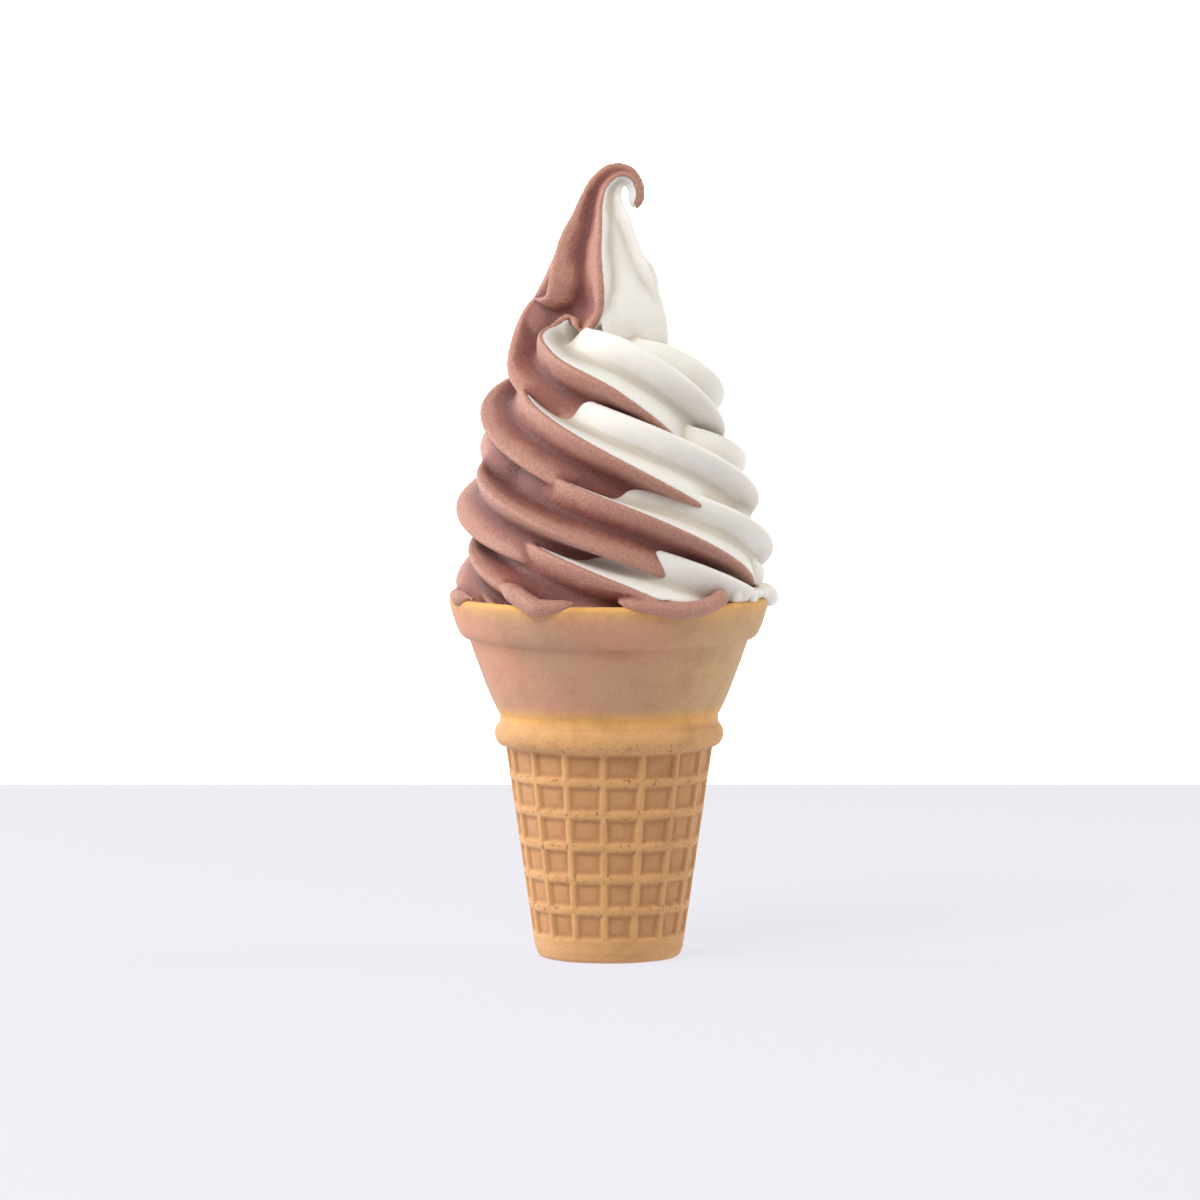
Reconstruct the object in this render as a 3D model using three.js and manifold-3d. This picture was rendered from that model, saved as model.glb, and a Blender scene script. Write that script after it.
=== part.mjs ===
// Chocolate and vanilla twist soft serve in a flat-bottomed wafer cup.
// Millimetres, +Z up. The origin is the centre of the cup's flat base, and -Y is the front.
import * as THREE from 'three';
import { mergeVertices } from 'three/addons/utils/BufferGeometryUtils.js';
import Module from 'manifold-3d';

const wasm = await Module();
wasm.setup();

const DEG = Math.PI / 180;
const GAP = 0.3; // running clearance between pieces that touch
const WELD = 1e-3; // corners nearer than this are one corner
const CLEAN_PASSES = 4; // rounds of welding corners and dropping slivers

// ---- wafer cup ----
const CUP_HEIGHT = 88.3;
const RIM_RADIUS = 39.0;
const RIM_LIP = 1.1; // radius of the rounded rim edge
const BAND_FOOT = 78.2; // height of the step under the rim band
const BAND_FOOT_RADIUS = 35.0;
const BAND_STEP = 0.9; // how far the band stands out from the bowl
const NECK_HEIGHT = 58.6;
const NECK_RADIUS = 26.0;
const COLLAR_HEIGHT = 54.8; // middle of the collar ring
const COLLAR_RADIUS = 27.9;
const COLLAR_HALF = 3.0;
const COLLAR_BULGE = 2.4; // how far the collar ring stands out from its edges
const BOWL_RISE = [[0, 0], [2.3, 4.4], [5.2, 11]]; // the bowl's flare: offsets out and up from the neck
const STEM_TOP_RADIUS = 25.2;
const STEM_TOP = 51.6;
const FOOT_RADIUS = 17.7;
const FOOT_ROUND = 1.8;
const WALL = 2.1;
const FLOOR_THICKNESS = 2.6;
const FLARE_LIFT = 0.4; // share of a margin that lifts the flaring bowl
const CUP_SIDES = 40;
const BORE_SIDES = 28;
const BLOCK = 300; // size of a cutting block, larger than the whole object

// ---- waffle grid on the stem ----
const UPRIGHT_RIBS = 16;
const UPRIGHT_WIDTH = 1.6;
const FIRST_UPRIGHT = 266.8; // bearing of the upright rib nearest the front, degrees
const RING_RIBS = 5;
const RING_WIDTH = 2.0;
const LOWEST_RING = 12.9;
const RING_PITCH = 7.9;
const PLAIN_FOOT = 6.1; // height of the plain band under the lowest row of cells
const RELIEF = 0.8;
const FLANK = 0.5; // run of a rib's sloping side

// ---- soft serve rope ----
// A star-shaped rope laid in a clockwise climbing helix, then pulled up into a peak that curls
// over. A station is: half turns from the right-hand side, sideways shift of the helix axis,
// helix radius, height, rope radius, and turn of the star about the rope's axis in degrees.
const STATIONS = [
  [-1, 1.2, 24.0, 80.5, 13.2, 32],
  [0, 1.4, 26.2, 85.8, 13.6, 32],
  [1, 1.4, 26.2, 92.2, 13.8, 32],
  [2, 1.4, 26.2, 99.8, 13.8, 32],
  [3, 1.4, 25.2, 109.8, 13.8, 30],
  [4, 1.4, 22.2, 114.2, 13.6, 16],
  [5, 1.2, 20.2, 128.8, 13.8, 0],
  [6, 1.4, 14.8, 133.2, 14.0, 0],
  [6.5, 0.4, 13.0, 139.2, 15.0, 0],
  [6.75, -0.6, 11.4, 142.7, 16.0, 0],
  [7, -1.6, 8.6, 147.7, 17.0, 0],
  [7.25, -2.6, 4.0, 153.7, 18.2, 0],
  [7.5, -2.7, 1.2, 160.7, 17.0, 0],
  [7.75, -2.5, 0, 168.2, 13.8, 0],
  [8.1, -2.2, 0, 176.7, 9.8, 0],
  [8.4, -1.9, 0, 183.2, 6.9, 0],
  [8.6, -1.0, 0, 187.2, 5.2, 0],
  [8.8, 1.2, 0, 190.2, 3.9, 0],
  [8.95, 3.4, 0, 191.1, 3.0, 0],
  [9.1, 5.8, 0, 190.1, 2.3, 0],
  [9.25, 7.1, 0, 187.2, 1.9, 0],
  [9.4, 7.0, 0, 184.0, 1.6, 0],
];
const ROPE_START = -0.6;
const COIL_END = 6.5; // from here up the steps are shorter
const PEAK_TURN = 7.4; // the rope stands upright from here
const ROPE_END = 9.4;
const COIL_STEP = 0.155; // length of one step of the sweep in half turns
const PEAK_STEP = 0.16;
const PIECE_STEPS = 6; // steps in one swept piece of the coils
const TIGHT_FROM = 5.8; // from here to TIGHT_TO every step is a piece of its own
const TIGHT_TO = 8;
const LOBES = 6;
const LOBE_DEPTH = 0.26; // valley depth as a share of the rope radius
const CREST_SOFTNESS = 0.03;
const ROPE_SIDES = 12;
const SLOPE_STEP = 0.01; // half step for measuring the rope's direction and bend
const INNER_LIMIT = 0.8; // share of the bend radius that the inside of a bend may fill

// ---- bands of the two flavours ----
const BAND_TURN = 0.1; // length of one step of a band in half turns
const BAND_REACH = 0.95; // how far a band runs to each side of the right-hand side, in half turns
const BAND_INSIDE = 0.4; // inner radius of a vanilla band as a share of the helix radius
const BAND_OUTSIDE = 60;
const BAND_LAP = 0.2; // how far bands that meet reach into each other
const THINNEST_BAND = 0.8;
const LOWEST_SEAM = 80;
const LOWEST_COIL_END = 1.2; // up to here a coil has no coil below it
const PEAK_FOOT = 150; // from here up the flavours lie side by side
const CURL_DROP = 4; // how far under the curl's tip the split leaves the swirl

// ---- fill and core that back the coils ----
const FILL_TOP = 86.5; // top of the plain fill
const COIL_FLOOR = 85; // the coils start here, just inside the fill
const CORE_SHIFT = 1.4;
const CORE = [[21, 84], [23.5, 94], [23, 110], [18, 125], [12, 137], [8, 147], [3, 155]];
const CORE_SIDES = 20;

// ---- drips over the rim: bearing, height, reach along the rim, drop, thickness ----
const DRIPS = [
  [244.5, 86.6, 3.6, 3.2, 2.2],
  [281, 86.8, 4.2, 2.6, 2.2],
  [290, 86.2, 4.0, 3.8, 2.3],
  [356, 87.6, 3.4, 3.0, 2.0],
];
const DRIP_INSET = 0.4; // how far inside the rim's edge a drip is centred
const DRIP_SIDES = 10;

const CREAM = { roughness: 0.55, metalness: 0 };

// ---------- small helpers ----------

/** Turn a closed geometry into a solid that can be joined and cut. */
function solidOf(geometry) {
  const bare = new THREE.BufferGeometry();
  bare.setAttribute('position', geometry.getAttribute('position').clone());
  if (geometry.index) bare.setIndex(geometry.index.clone());
  const merged = mergeVertices(bare, WELD);
  const corners = merged.index.array;
  const kept = [];
  for (let i = 0; i < corners.length; i += 3) {
    const [a, b, c] = [corners[i], corners[i + 1], corners[i + 2]];
    if (a !== b && b !== c && c !== a) kept.push(a, b, c);
  }
  const vertProperties = new Float32Array(merged.getAttribute('position').array);
  const solid = (order) => (
    new wasm.Manifold(new wasm.Mesh({ numProp: 3, vertProperties, triVerts: new Uint32Array(order) }))
  );
  const whole = solid(kept);
  return whole.volume() > 0 ? whole : solid(kept.reverse());
}

/** Turn a solid back into a geometry. */
function geometryOf(solid) {
  const mesh = solid.getMesh();
  const geometry = new THREE.BufferGeometry();
  geometry.setAttribute('position', new THREE.BufferAttribute(new Float32Array(mesh.vertProperties), 3));
  geometry.setIndex(new THREE.BufferAttribute(new Uint32Array(mesh.triVerts), 1));
  geometry.computeVertexNormals();
  return geometry;
}

/** Closed grid of rows of points; the first and last rows are capped at their middle. */
function loftOf(rows) {
  const across = rows[0].length;
  const points = rows.flat();
  const index = [];
  for (let i = 0; i + 1 < rows.length; i += 1) {
    for (let j = 0; j < across; j += 1) {
      const a = i * across + j;
      const b = i * across + ((j + 1) % across);
      index.push(a, b, b + across, a, b + across, a + across);
    }
  }
  for (const [row, turn] of [[0, true], [rows.length - 1, false]]) {
    const middle = rows[row].reduce((sum, p) => sum.add(p), new THREE.Vector3()).divideScalar(across);
    points.push(middle);
    for (let j = 0; j < across; j += 1) {
      const a = row * across + j;
      const b = row * across + ((j + 1) % across);
      index.push(...(turn ? [points.length - 1, b, a] : [points.length - 1, a, b]));
    }
  }
  const geometry = new THREE.BufferGeometry();
  geometry.setFromPoints(points);
  geometry.setIndex(index);
  return geometry;
}

/** Solid of revolution about Z from [radius, height] points that start and end on the axis. */
function turned(outline, sides) {
  const profile = outline.map(([radius, height]) => new THREE.Vector2(radius, height));
  const geometry = new THREE.LatheGeometry(profile, sides);
  geometry.rotateX(Math.PI / 2);
  return solidOf(geometry);
}

/** Join a list of solids. */
function joined(solids) {
  return solids.reduce((whole, solid) => whole.add(solid));
}

/** Key of the edge between two corners, whichever way it runs. */
function edgeKey(a, b) {
  return a < b ? `${a}_${b}` : `${b}_${a}`;
}

/** Groups of triangles joined edge to edge, each a list of triangle numbers. */
function skinsOf(triVerts) {
  const count = triVerts.length / 3;
  const sharing = new Map();
  for (let t = 0; t < count; t += 1) {
    for (let k = 0; k < 3; k += 1) {
      const key = edgeKey(triVerts[3 * t + k], triVerts[3 * t + ((k + 1) % 3)]);
      sharing.set(key, [...(sharing.get(key) ?? []), t]);
    }
  }
  const seen = new Array(count).fill(false);
  const skins = [];
  for (let start = 0; start < count; start += 1) {
    if (seen[start]) continue;
    const skin = [start];
    seen[start] = true;
    for (let i = 0; i < skin.length; i += 1) {
      for (let k = 0; k < 3; k += 1) {
        const key = edgeKey(triVerts[3 * skin[i] + k], triVerts[3 * skin[i] + ((k + 1) % 3)]);
        const next = sharing.get(key).filter((t) => !seen[t]);
        next.forEach((t) => { seen[t] = true; });
        skin.push(...next);
      }
    }
    skins.push(skin);
  }
  return skins;
}

/** The largest outer skin of a solid: no loose slivers and no closed pockets. */
function mainBody(solid) {
  const { vertProperties, triVerts } = solid.getMesh();
  const corner = (t, k) => new THREE.Vector3().fromArray(vertProperties, triVerts[3 * t + k] * 3);
  const volume = (skin) => (
    skin.reduce((sum, t) => sum + corner(t, 0).dot(corner(t, 1).cross(corner(t, 2))), 0)
  );
  const skins = skinsOf(triVerts).map((skin) => ({ skin, size: volume(skin) }));
  const best = skins.reduce((top, other) => (other.size > top.size ? other : top));
  const geometry = new THREE.BufferGeometry();
  geometry.setAttribute('position', new THREE.BufferAttribute(new Float32Array(vertProperties), 3));
  geometry.setIndex(best.skin.flatMap((t) => Array.from(triVerts.slice(3 * t, 3 * t + 3))));
  return geometry;
}

/** Named mesh with its own material. */
function piece(name, geometry, color, finish) {
  const mesh = new THREE.Mesh(geometry, new THREE.MeshStandardMaterial({ color, ...finish }));
  mesh.name = name;
  return mesh;
}

// ---------- wafer cup ----------

/** Outside radius of the stem at a height, over the ribs. */
function stemRadius(height) {
  return FOOT_RADIUS + ((STEM_TOP_RADIUS - FOOT_RADIUS) * height) / STEM_TOP;
}

/** Outline of the cup's outside above the stem, from low to high, pushed out by a margin. */
function bowlOutline(margin) {
  const collar = [-90, -45, 0, 45, 80].map((angle) => [
    COLLAR_RADIUS - COLLAR_BULGE * (1 - Math.cos(angle * DEG)),
    COLLAR_HEIGHT + COLLAR_HALF * Math.sin(angle * DEG),
  ]);
  const bowl = [
    ...BOWL_RISE.map(([out, up]) => [NECK_RADIUS + out, NECK_HEIGHT + up]),
    [BAND_FOOT_RADIUS - BAND_STEP, BAND_FOOT - BAND_STEP],
    [BAND_FOOT_RADIUS, BAND_FOOT],
    [(BAND_FOOT_RADIUS + RIM_RADIUS) / 2 + BAND_STEP / 2, (BAND_FOOT + CUP_HEIGHT) / 2],
    [RIM_RADIUS, CUP_HEIGHT - 2 * RIM_LIP],
    [RIM_RADIUS - RIM_LIP / 3, CUP_HEIGHT - RIM_LIP / 2],
    [RIM_RADIUS - RIM_LIP, CUP_HEIGHT],
  ];
  return [...collar, ...bowl].map(([radius, height]) => [radius + margin, height + margin * FLARE_LIFT]);
}

/** Outline of the cup's inside, from low to high, pulled in by a margin. */
function boreOutline(margin) {
  return [
    [stemRadius(0) - WALL - RELIEF, FLOOR_THICKNESS + margin],
    [stemRadius(STEM_TOP) - WALL - RELIEF, STEM_TOP],
    ...BOWL_RISE.map(([out, up]) => [NECK_RADIUS + out - WALL, NECK_HEIGHT + up]),
    [BAND_FOOT_RADIUS - WALL, BAND_FOOT],
    [RIM_RADIUS - WALL, CUP_HEIGHT + margin],
  ].map(([radius, height]) => [radius - margin, height]);
}

/** Bearings round the stem: one on each rib's ridge and one at the foot of each flank. */
function uprightColumns() {
  const columns = [];
  for (let rib = 0; rib < UPRIGHT_RIBS; rib += 1) {
    const middle = FIRST_UPRIGHT + (360 / UPRIGHT_RIBS) * rib;
    const half = (UPRIGHT_WIDTH / 2 + FLANK) / stemRadius(STEM_TOP / 2) / DEG;
    columns.push([middle - half, false], [middle, true], [middle + half, false]);
  }
  return columns;
}

/** Heights up the stem, each with whether the whole ring stands at rib height. */
function ringRows() {
  const rows = [[FOOT_ROUND, true], [PLAIN_FOOT, true], [PLAIN_FOOT + FLANK, false]];
  for (let ring = 0; ring < RING_RIBS; ring += 1) {
    const middle = LOWEST_RING + RING_PITCH * ring;
    const half = RING_WIDTH / 2 + FLANK;
    rows.push([middle - half, false], [middle, true], [middle + half, false]);
  }
  rows.push([STEM_TOP - FLANK, false], [COLLAR_HEIGHT, true]);
  return rows;
}

/** Tapered stem with its grid of ribs, closed at the foot and inside the collar. */
function waffleStem() {
  const columns = uprightColumns();
  const ring = (radiusOf, height) => columns.map(([bearing, onRib]) => {
    const radius = radiusOf(onRib);
    return new THREE.Vector3(radius * Math.cos(bearing * DEG), radius * Math.sin(bearing * DEG), height);
  });
  const foot = ring(() => FOOT_RADIUS - FOOT_ROUND, 0);
  const footEdge = ring(() => FOOT_RADIUS - FOOT_ROUND / 3, FOOT_ROUND / 3);
  const rows = ringRows().map(([height, raised]) => (
    ring((onRib) => stemRadius(height) - (raised || onRib ? 0 : RELIEF), height)
  ));
  return solidOf(loftOf([foot, footEdge, ...rows]));
}

/** The whole wafer cup: ribbed stem and turned bowl, with one hollow. */
function waferCup() {
  const bowl = turned([[0, STEM_TOP], ...bowlOutline(0), [0, CUP_HEIGHT]], CUP_SIDES);
  const above = CUP_HEIGHT + WALL;
  const bore = [...boreOutline(0), [RIM_RADIUS - WALL, above]];
  const hollow = turned([[0, FLOOR_THICKNESS], ...bore, [0, above]], BORE_SIDES);
  return waffleStem().add(bowl).subtract(hollow);
}

// ---------- soft serve rope ----------

/** Smooth value of one station column at a place along the rope. */
function along(place, column) {
  let i = STATIONS.length - 2;
  while (i > 0 && STATIONS[i][0] > place) i -= 1;
  const slope = (k) => {
    const before = STATIONS[Math.max(k - 1, 0)];
    const after = STATIONS[Math.min(k + 1, STATIONS.length - 1)];
    return (after[column] - before[column]) / (after[0] - before[0]);
  };
  const span = STATIONS[i + 1][0] - STATIONS[i][0];
  const t = (place - STATIONS[i][0]) / span;
  const rise = t * t * (3 - 2 * t);
  const ease = t * (1 - t) * (1 - t) * slope(i) - t * t * (1 - t) * slope(i + 1);
  return STATIONS[i][column] * (1 - rise) + STATIONS[i + 1][column] * rise + ease * span;
}

/** Middle of the rope at a place along it. */
function ropeMiddle(place) {
  const bearing = -Math.PI * place;
  const radius = along(place, 2);
  return new THREE.Vector3(
    along(place, 1) + radius * Math.cos(bearing),
    radius * Math.sin(bearing),
    along(place, 3),
  );
}

/** Radius of the star section at an angle: 1 on a crest, less in the valleys between. */
function starShape(angle) {
  const wave = Math.sin((LOBES / 2) * (angle - Math.PI / 2));
  const soft = Math.sqrt(CREST_SOFTNESS);
  const dip = (Math.sqrt(wave * wave + CREST_SOFTNESS) - soft) / (Math.sqrt(1 + CREST_SOFTNESS) - soft);
  return 1 - LOBE_DEPTH * dip;
}

/** Rope axis, direction, and the pull towards the middle of its bend at a place. */
function ropeFrame(place) {
  const middle = ropeMiddle(place);
  const before = ropeMiddle(place - SLOPE_STEP);
  const after = ropeMiddle(place + SLOPE_STEP);
  const travel = after.clone().sub(before);
  const direction = travel.clone().normalize();
  const bend = after.clone().add(before).addScaledVector(middle, -2);
  bend.addScaledVector(direction, -bend.dot(direction));
  const reach = travel.lengthSq() / (4 * Math.max(bend.length(), WELD * WELD));
  return { middle, direction, inward: bend.normalize(), reach };
}

/** Star section of the rope at a place along it. */
function ropeSection(place) {
  const { middle, direction, inward, reach } = ropeFrame(place);
  const turn = new THREE.Quaternion().setFromUnitVectors(new THREE.Vector3(0, 0, 1), direction);
  const radius = along(place, 4);
  const twist = along(place, 5) * DEG;
  const points = [];
  for (let k = 0; k < ROPE_SIDES; k += 1) {
    const angle = (2 * Math.PI * k) / ROPE_SIDES;
    const across = radius * starShape(angle);
    const spoke = new THREE.Vector3(across * Math.cos(angle + twist), across * Math.sin(angle + twist), 0);
    spoke.applyQuaternion(turn);
    const excess = spoke.dot(inward) - INNER_LIMIT * reach;
    if (excess > 0) spoke.addScaledVector(inward, -excess);
    points.push(spoke.add(middle));
  }
  return points;
}

/** Places along the rope where it has a section. */
function ropePlaces() {
  const places = [];
  for (let place = ROPE_START; place < COIL_END - COIL_STEP / 2; place += COIL_STEP) places.push(place);
  const peakSteps = Math.round((ROPE_END - COIL_END) / PEAK_STEP);
  for (let k = 0; k <= peakSteps; k += 1) places.push(COIL_END + ((ROPE_END - COIL_END) * k) / peakSteps);
  return places;
}

/** The whole rope, swept in pieces too short to meet themselves. */
function wholeRope() {
  const places = ropePlaces();
  const sections = places.map(ropeSection);
  const pieces = [];
  let from = 0;
  while (from < sections.length - 1) {
    const steps = places[from] > TIGHT_FROM && places[from] < TIGHT_TO ? 1 : PIECE_STEPS;
    pieces.push(solidOf(loftOf(sections.slice(from, from + steps + 1))));
    from += steps;
  }
  return joined(pieces);
}

/** Height of the seam between the coil at a place and the one a turn below it. */
function seamBelow(place) {
  return place < LOWEST_COIL_END ? LOWEST_SEAM : (along(place, 3) + along(place - 2, 3)) / 2;
}

/** Height of the flavour crest on the rope at a place: bearing 270 in front, 90 behind. */
function crestHeight(place, crest) {
  const around = (crest + along(place, 5) + 180 * place) % 360;
  const signed = around > 180 ? around - 360 : around;
  const climb = Math.max(-90, Math.min(90, signed));
  return along(place, 3) + along(place, 4) * Math.sin(climb * DEG);
}

/** Lower and upper edge of the vanilla band that passes the right-hand side at a place. */
function bandEdges(place, right) {
  const front = place > right ? crestHeight(place, 270) : -Infinity;
  const back = place < right ? crestHeight(place, 90) : Infinity;
  const above = place + 2 < PEAK_TURN ? seamBelow(place + 2) : PEAK_FOOT;
  return [Math.max(seamBelow(place), front), Math.min(above + BAND_LAP, back)];
}

/** Move an end row of a band away from the row beside it. */
function pushEnd(row, beside, distance) {
  row.forEach((corner, k) => {
    const away = corner.clone().sub(beside[k]).setZ(0).normalize();
    corner.addScaledVector(away, distance);
  });
}

/** Radial blade that holds one vanilla band, grown by a margin. */
function vanillaBand(right, margin) {
  const rows = [];
  const steps = Math.round((2 * BAND_REACH) / BAND_TURN);
  for (let k = 0; k <= steps; k += 1) {
    const place = right - BAND_REACH + BAND_TURN * k;
    const [low, high] = bandEdges(place, right);
    if (high - low < THINNEST_BAND) continue;
    const bearing = -Math.PI * place;
    const inside = along(Math.max(place, 0), 2) * BAND_INSIDE - margin;
    const corner = (radius, height) => (
      new THREE.Vector3(CORE_SHIFT + radius * Math.cos(bearing), radius * Math.sin(bearing), height)
    );
    const [bottom, top] = [low - margin, high + margin];
    rows.push([
      corner(inside, bottom),
      corner(BAND_OUTSIDE, bottom),
      corner(BAND_OUTSIDE, top),
      corner(inside, top),
    ]);
  }
  pushEnd(rows[0], rows[1], margin);
  pushEnd(rows[rows.length - 1], rows[rows.length - 2], margin);
  return solidOf(loftOf(rows));
}

/** Everything on the vanilla side of the peak and of its curl, grown by a margin. */
function vanillaPeak(margin) {
  const outline = new THREE.Shape();
  outline.moveTo(BAND_OUTSIDE, PEAK_FOOT - margin);
  outline.lineTo(ropeMiddle(PEAK_TURN).x - margin, PEAK_FOOT - margin);
  for (let place = PEAK_TURN; place <= ROPE_END + PEAK_STEP; place += PEAK_STEP / 2) {
    const middle = ropeMiddle(Math.min(place, ROPE_END));
    const travel = ropeFrame(Math.min(place, ROPE_END)).direction;
    outline.lineTo(middle.x - margin * travel.z, middle.z + margin * travel.x);
  }
  const tip = ropeMiddle(ROPE_END);
  outline.lineTo(tip.x + margin, tip.z - CURL_DROP);
  outline.lineTo(BAND_OUTSIDE, tip.z - CURL_DROP);
  const slab = new THREE.ExtrudeGeometry(outline, { depth: 2 * BAND_OUTSIDE, bevelEnabled: false });
  slab.translate(0, 0, -BAND_OUTSIDE);
  slab.rotateX(Math.PI / 2);
  return solidOf(slab);
}

/** Everything that is vanilla: its bands, its side of the peak, and its side of the fill. */
function vanillaSpace(margin) {
  const bands = [0, 2, 4, 6].map((right) => vanillaBand(right, margin));
  const fill = vanillaHalf(blockBelow(FILL_TOP + margin), margin);
  return joined([...bands, vanillaPeak(margin), fill]);
}

/** The vanilla side of a solid, split at the flavour plane X = 0 and grown by a margin. */
function vanillaHalf(solid, margin) {
  const block = new THREE.BoxGeometry(BLOCK, BLOCK, BLOCK);
  block.translate(BLOCK / 2 - margin, 0, 0);
  return solid.intersect(solidOf(block));
}

/** Everything below a height. */
function blockBelow(height) {
  const block = new THREE.BoxGeometry(BLOCK, BLOCK, BLOCK);
  block.translate(0, 0, height - BLOCK / 2);
  return solidOf(block);
}

/** Fill of the cup up to just under the rim. */
function cupFill() {
  const bore = boreOutline(GAP);
  const top = [[CORE[0][0], FILL_TOP], [0, FILL_TOP]];
  return turned([[0, bore[0][1]], ...bore.slice(0, -1), ...top], BORE_SIDES);
}

/** Core that closes the middle of the helix. */
function coilCore() {
  const [low, high] = [CORE[0][1], CORE[CORE.length - 1][1]];
  return turned([[0, low], ...CORE, [0, high]], CORE_SIDES).translate([CORE_SHIFT, 0, 0]);
}

/** Everything outside the cup's bore below the rim's top edge. */
function outsideTheBore() {
  const bore = boreOutline(GAP);
  const [outside, below, top] = [BLOCK / 3, -WALL, CUP_HEIGHT + GAP];
  const outline = [[0, below], [outside, below], [outside, top], [RIM_RADIUS - WALL - GAP, top]];
  return turned([...outline, ...bore.slice(0, -1).reverse(), [0, bore[0][1]]], BORE_SIDES);
}

/** The cup as a plain turned solid with its clearance, for cutting drips. */
function clearedCup() {
  const stem = [[0, 0], [FOOT_RADIUS, 0], [STEM_TOP_RADIUS, STEM_TOP]];
  const rim = [[RIM_RADIUS - RIM_LIP, CUP_HEIGHT + GAP], [0, CUP_HEIGHT + GAP]];
  return turned([...stem, ...bowlOutline(GAP), ...rim], CUP_SIDES);
}

/** Rounded drips that hang over the rim. */
function drips() {
  return DRIPS.map(([bearing, height, reach, drop, thickness]) => {
    const blob = new THREE.SphereGeometry(1, DRIP_SIDES, DRIP_SIDES / 2 + 2);
    blob.rotateX(Math.PI / 2);
    blob.scale(thickness, reach, drop);
    blob.translate(RIM_RADIUS - DRIP_INSET, 0, height);
    blob.rotateZ(bearing * DEG);
    return solidOf(blob);
  });
}

/** A solid's main body with its corners welded and its slivers dropped. */
function cleaned(solid) {
  let skin = mainBody(solid);
  for (let pass = 0; pass < CLEAN_PASSES; pass += 1) skin = mainBody(solidOf(skin));
  return skin;
}

/** The whole soft serve, cut clear of the cup, with its drips. */
function softServe() {
  const cup = clearedCup();
  const hanging = drips().map((drip) => drip.subtract(cup));
  const coils = wholeRope().subtract(blockBelow(COIL_FLOOR));
  const inside = joined([coils, coilCore(), cupFill()]).subtract(outsideTheBore());
  return solidOf(cleaned(joined([inside, ...hanging])));
}

/** Both flavours, a clearance apart. */
function swirls() {
  const whole = softServe();
  return [cleaned(whole.subtract(vanillaSpace(GAP))), cleaned(whole.intersect(vanillaSpace(0)))];
}

const [brown, white] = swirls();
const group = new THREE.Group();
group.add(piece('wafer_cup', geometryOf(waferCup()), 0xd9a06b, { roughness: 0.8, metalness: 0 }));
group.add(piece('chocolate_swirl', brown, 0xa5705f, CREAM));
group.add(piece('vanilla_swirl', white, 0xeae4d8, CREAM));

export default group;
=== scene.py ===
"""Chocolate and vanilla twist of soft serve in a flat-bottomed wafer cup.

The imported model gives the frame: the cup's base and rim, and the body that everything rides on.
Lengths in the classes below are millimetres in that frame (+Z up, -Y to the front, origin at the
centre of the cup's flat base), and MM turns them into metres.
"""

import logging
import math
import random
from dataclasses import dataclass, field
from enum import Enum

import bpy
import numpy as np
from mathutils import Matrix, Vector

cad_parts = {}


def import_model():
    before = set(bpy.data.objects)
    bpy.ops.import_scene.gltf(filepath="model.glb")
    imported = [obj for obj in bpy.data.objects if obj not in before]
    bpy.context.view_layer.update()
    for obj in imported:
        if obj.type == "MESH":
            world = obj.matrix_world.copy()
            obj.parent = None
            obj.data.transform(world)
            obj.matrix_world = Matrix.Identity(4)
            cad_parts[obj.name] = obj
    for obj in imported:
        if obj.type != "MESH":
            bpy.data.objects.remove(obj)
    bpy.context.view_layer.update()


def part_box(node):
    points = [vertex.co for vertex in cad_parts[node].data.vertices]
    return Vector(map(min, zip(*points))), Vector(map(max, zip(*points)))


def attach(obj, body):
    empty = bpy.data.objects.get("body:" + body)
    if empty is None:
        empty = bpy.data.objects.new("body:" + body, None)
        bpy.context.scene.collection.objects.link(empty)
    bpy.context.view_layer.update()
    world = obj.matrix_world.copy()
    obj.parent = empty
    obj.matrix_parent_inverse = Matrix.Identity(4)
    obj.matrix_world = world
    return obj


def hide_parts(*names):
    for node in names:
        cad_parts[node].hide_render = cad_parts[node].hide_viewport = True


LOG = logging.getLogger("soft_serve")
MM = 0.001
BODY = "root"
SEED = 7

Array = np.ndarray
Colour = tuple[float, float, float]


# ---------------------------------------------------------------------------------------------
# Shapes
# ---------------------------------------------------------------------------------------------


def smooth_step(value: Array, low: float, high: float) -> Array:
    """Ease a value from 0 to 1.

    Args:
        value: the values to ease.
        low: where the result leaves 0.
        high: where the result reaches 1.

    Returns:
        The eased values.
    """
    share = np.clip((value - low) / (high - low), 0.0, 1.0)
    return share * share * (3.0 - 2.0 * share)


def bell(distance: Array, width: float) -> Array:
    """Rounded hump that is 1 in the middle and falls to about a third at width."""
    return np.exp(-((distance / width) ** 2))


def angle_between(angle: Array, middle: float) -> Array:
    """Signed difference of two bearings in degrees, from -180 to 180."""
    return (angle - middle + 180.0) % 360.0 - 180.0


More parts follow.
